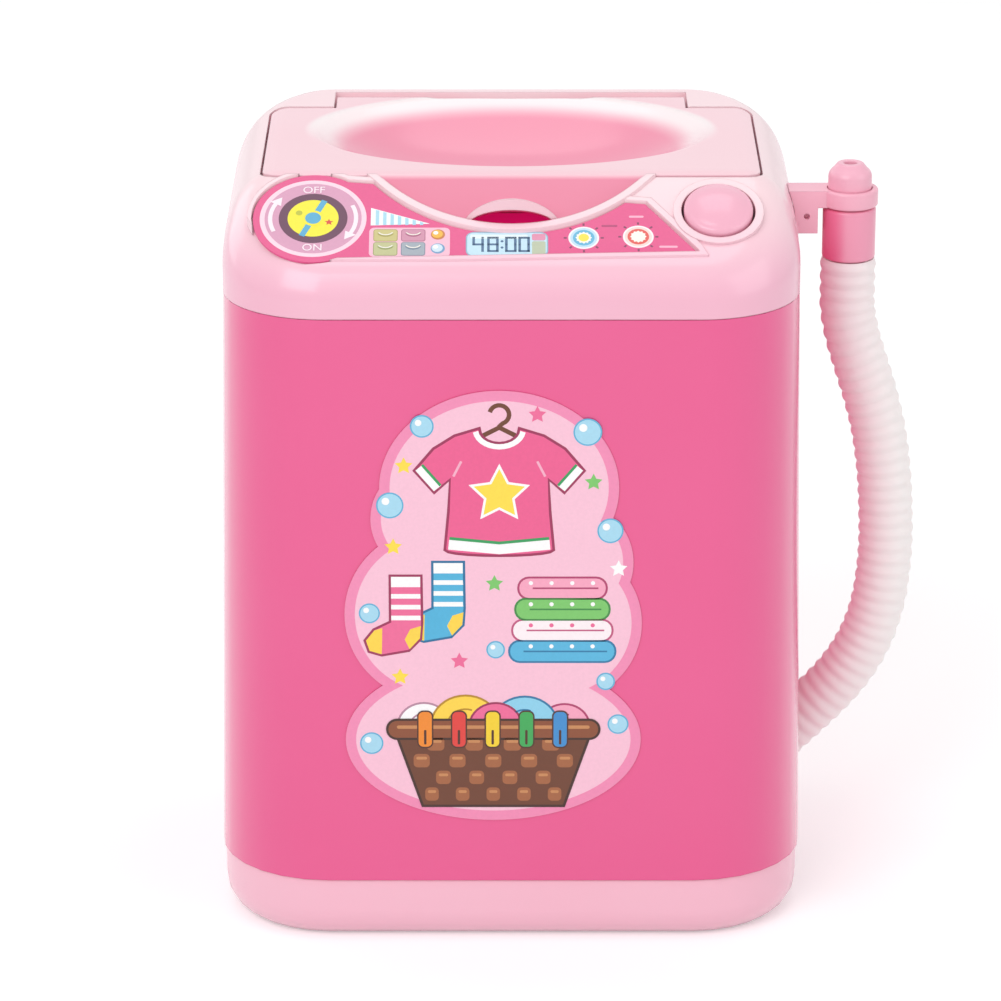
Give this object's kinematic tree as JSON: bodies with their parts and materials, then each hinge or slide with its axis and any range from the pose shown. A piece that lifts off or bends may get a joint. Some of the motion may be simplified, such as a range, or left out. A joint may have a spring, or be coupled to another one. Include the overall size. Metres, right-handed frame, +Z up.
{
  "type": "toy washing machine",
  "caption": "Small battery toy washing machine: rounded two-tone pink housing, lift-up lid with soap dish, sloping control panel, push button and ribbed drain hose at the side.",
  "frame": {"origin": "centre of the housing's footprint on the underside of the base tray", "axes": "+Z up, front face and control panel towards -Y, drain hose on the +X side, lid hinge at +Y"},
  "size_m": [0.1181, 0.0806, 0.1281],
  "materials": {
    "light_pink_abs": "glossy moulded",
    "pink_abs": "glossy moulded",
    "magenta_pp": "glossy moulded",
    "label_film": "printed film",
    "sticker_film": "printed film",
    "button_pink": "glossy moulded",
    "steel": "bright zinc",
    "black_plastic": "moulded",
    "pulsator_pink": "glossy moulded",
    "brass": "turned",
    "seal_rubber": "moulded",
    "natural_plastic": "moulded",
    "motor_can": "zinc plated",
    "battery_jacket": "printed jacket",
    "white_plastic": "moulded",
    "nickel_strip": "nickel plated",
    "hose_polyethylene": "translucent blow moulded",
    "fitting_pink": "glossy moulded",
    "wire_red": "insulation",
    "wire_black": "insulation"
  },
  "bodies": {
    "machine": {"base_tray": "light_pink_abs", "top_cap": "light_pink_abs", "body_shell": "pink_abs", "wash_tub": "magenta_pp", "panel_label": "label_film", "front_sticker": "sticker_film", "hinge_pin_left": "steel", "hinge_pin_right": "steel", "button_spring": "steel", "gear_axle": "steel", "case_screw_1": "steel", "case_screw_2": "steel", "case_screw_3": "steel", "case_screw_4": "steel", "gear_plate_screw_1": "steel", "gear_plate_screw_2": "steel", "gear_plate_screw_3": "steel", "motor_screw_1": "steel", "motor_screw_2": "steel", "button_switch": "black_plastic", "shaft_bush": "brass", "shaft_seal": "seal_rubber", "gear_plate": "natural_plastic", "drain_elbow": "natural_plastic", "motor": "motor_can", "battery_lower": "battery_jacket", "battery_upper": "battery_jacket", "battery_box": "white_plastic", "contact_link": "nickel_strip", "contact_positive": "nickel_strip", "contact_negative": "nickel_strip", "drain_hose": "hose_polyethylene", "hose_bracket": "fitting_pink", "wire_battery_switch": "wire_red", "wire_switch_motor": "wire_red", "wire_battery_motor": "wire_black"},
    "lid": {"lid": "light_pink_abs"},
    "button": {"push_button": "button_pink"},
    "pulsator": {"pulsator": "pulsator_pink", "drive_shaft": "steel", "output_gear": "natural_plastic"},
    "compound": {"compound_gear": "natural_plastic"},
    "rotor": {"motor_pinion": "natural_plastic", "motor_shaft": "steel"},
    "fitting": {"hose_fitting": "fitting_pink"},
    "cover": {"battery_cover": "pink_abs", "battery_cover_screw": "steel"}
  },
  "joints": [
    {"name": "lid_hinge", "type": "hinge", "parent": "machine", "child": "lid", "pos_m": [0, 0.0296, 0.125], "axis": [-1, 0, 0], "range_deg": [0, 95]},
    {"name": "button_press", "type": "slide", "parent": "machine", "child": "button", "axis": [0, 0.4821, -0.8761], "range_m": [0, 0.002], "stiffness_N_per_m": 400, "springref_m": -0.0005, "deforming": ["button_spring"]},
    {"name": "pulsator_spin", "type": "hinge", "parent": "machine", "child": "pulsator", "pos_m": [0, 0.0077, 0.05], "axis": [0, 0, 1], "continuous": true},
    {"name": "compound_spin", "type": "hinge", "parent": "machine", "child": "compound", "pos_m": [-0.01081, 0.00013, 0.036], "axis": [0, 0, 1], "continuous": true},
    {"name": "motor_spin", "type": "hinge", "parent": "machine", "child": "rotor", "pos_m": [-0.0177, -0.0097, 0.034], "axis": [0, 0, 1], "continuous": true},
    {"name": "fitting_pull", "type": "slide", "parent": "machine", "child": "fitting", "axis": [0, 0, -1], "range_m": [0, 0.012], "deforming": ["drain_hose"]},
    {"name": "battery_cover_off", "type": "slide", "parent": "machine", "child": "cover", "axis": [0, 1, 0], "range_m": [0, 0.03]}
  ],
  "couplings": [
    {"joint": "compound_spin", "follows": "pulsator_spin", "ratio": -3.4},
    {"joint": "motor_spin", "follows": "pulsator_spin", "ratio": 10.2}
  ]
}
